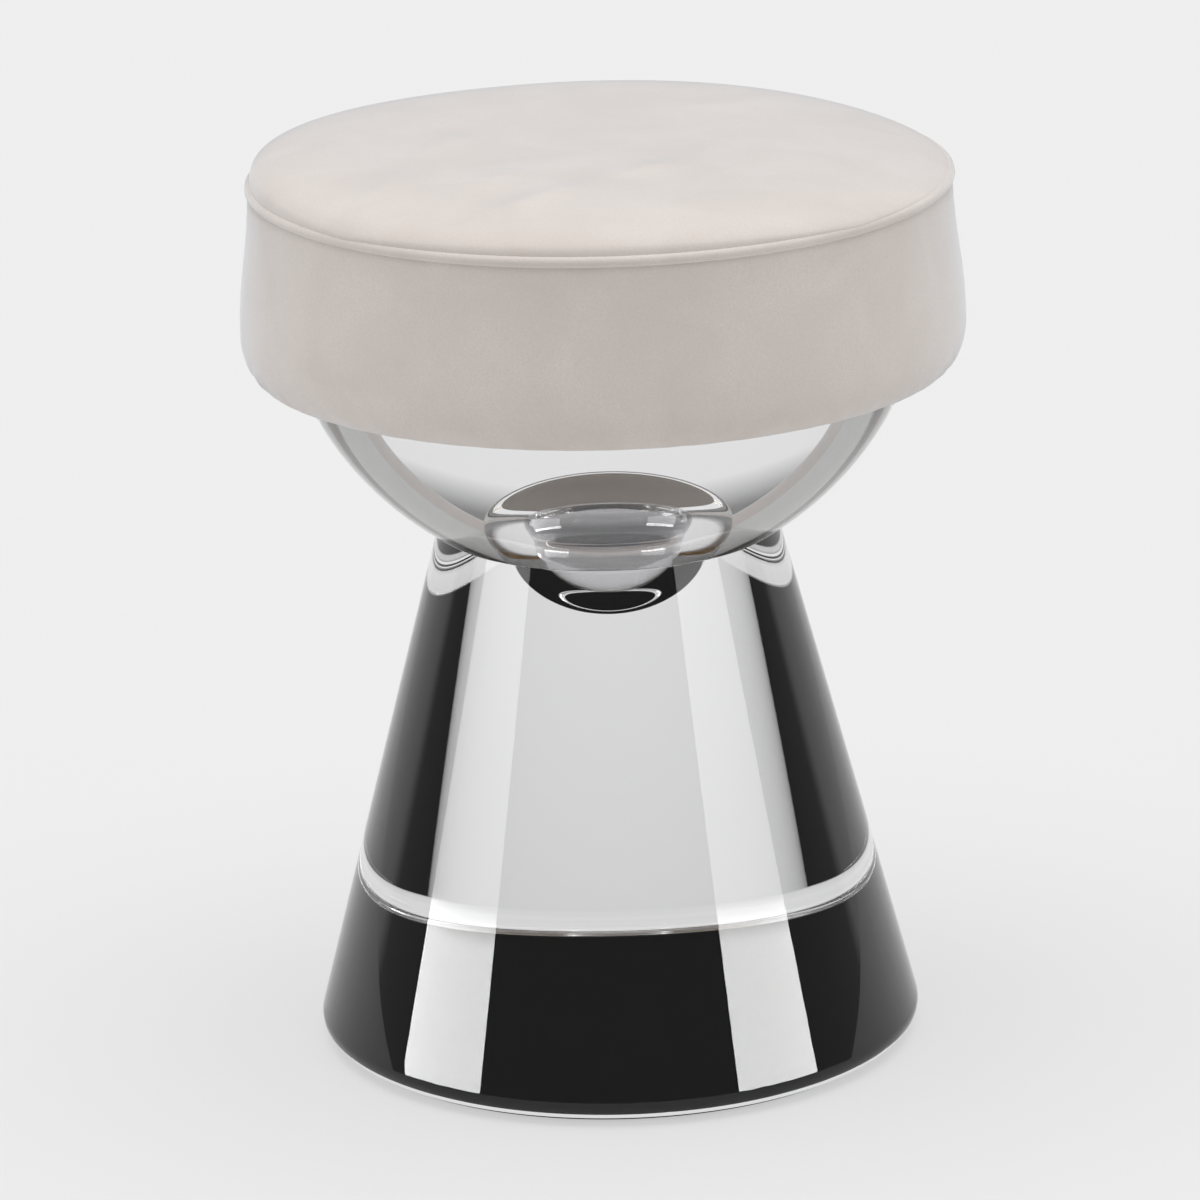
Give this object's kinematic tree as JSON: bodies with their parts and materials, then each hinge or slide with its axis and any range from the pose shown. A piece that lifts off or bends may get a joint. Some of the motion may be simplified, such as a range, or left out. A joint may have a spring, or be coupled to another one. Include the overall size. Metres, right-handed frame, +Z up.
{
  "type": "acrylic stool",
  "caption": "Round stool: a clear tapered base with a black underside and a clear half-ball above its neck carry a piped, upholstered round seat.",
  "frame": {"origin": "on the floor, under the middle of the stool", "axes": "+Z up along the axis of the cone and the seat; the stool is round, so X and Y are free"},
  "size_m": [0.3648, 0.3648, 0.4683],
  "materials": {
    "clear_acrylic": "clear, polished",
    "black_acrylic": "polished",
    "black_felt": "felted",
    "plywood": "sanded",
    "brass": "turned",
    "zinc_plated_steel": "zinc plated",
    "cushion_foam": "open-cell foam",
    "polyester_wadding": "fibrous",
    "greige_velvet": "short, soft pile",
    "dark_underside_cloth": "non-woven"
  },
  "bodies": {
    "root": {"floor_felt_ring": "black_felt", "black_base_disc": "black_acrylic", "cone_base": "clear_acrylic", "neck_plug": "clear_acrylic", "half_ball_lower": "clear_acrylic", "half_ball_upper": "clear_acrylic", "seat_board": "plywood", "foam_core": "cushion_foam", "top_wadding": "polyester_wadding", "cover_side_band": "greige_velvet", "welt": "greige_velvet", "cover_top_panel": "greige_velvet", "underside_cloth": "dark_underside_cloth", "threaded_insert_1": "brass", "screw_washer_1": "zinc_plated_steel", "seat_screw_1": "zinc_plated_steel", "threaded_insert_2": "brass", "screw_washer_2": "zinc_plated_steel", "seat_screw_2": "zinc_plated_steel", "threaded_insert_3": "brass", "screw_washer_3": "zinc_plated_steel", "seat_screw_3": "zinc_plated_steel", "threaded_insert_4": "brass", "screw_washer_4": "zinc_plated_steel", "seat_screw_4": "zinc_plated_steel", "hem_staple_01": "zinc_plated_steel", "hem_staple_02": "zinc_plated_steel", "hem_staple_03": "zinc_plated_steel", "hem_staple_04": "zinc_plated_steel", "hem_staple_05": "zinc_plated_steel", "hem_staple_06": "zinc_plated_steel", "hem_staple_07": "zinc_plated_steel", "hem_staple_08": "zinc_plated_steel", "hem_staple_09": "zinc_plated_steel", "hem_staple_10": "zinc_plated_steel", "hem_staple_11": "zinc_plated_steel", "hem_staple_12": "zinc_plated_steel"}
  },
  "joints": []
}
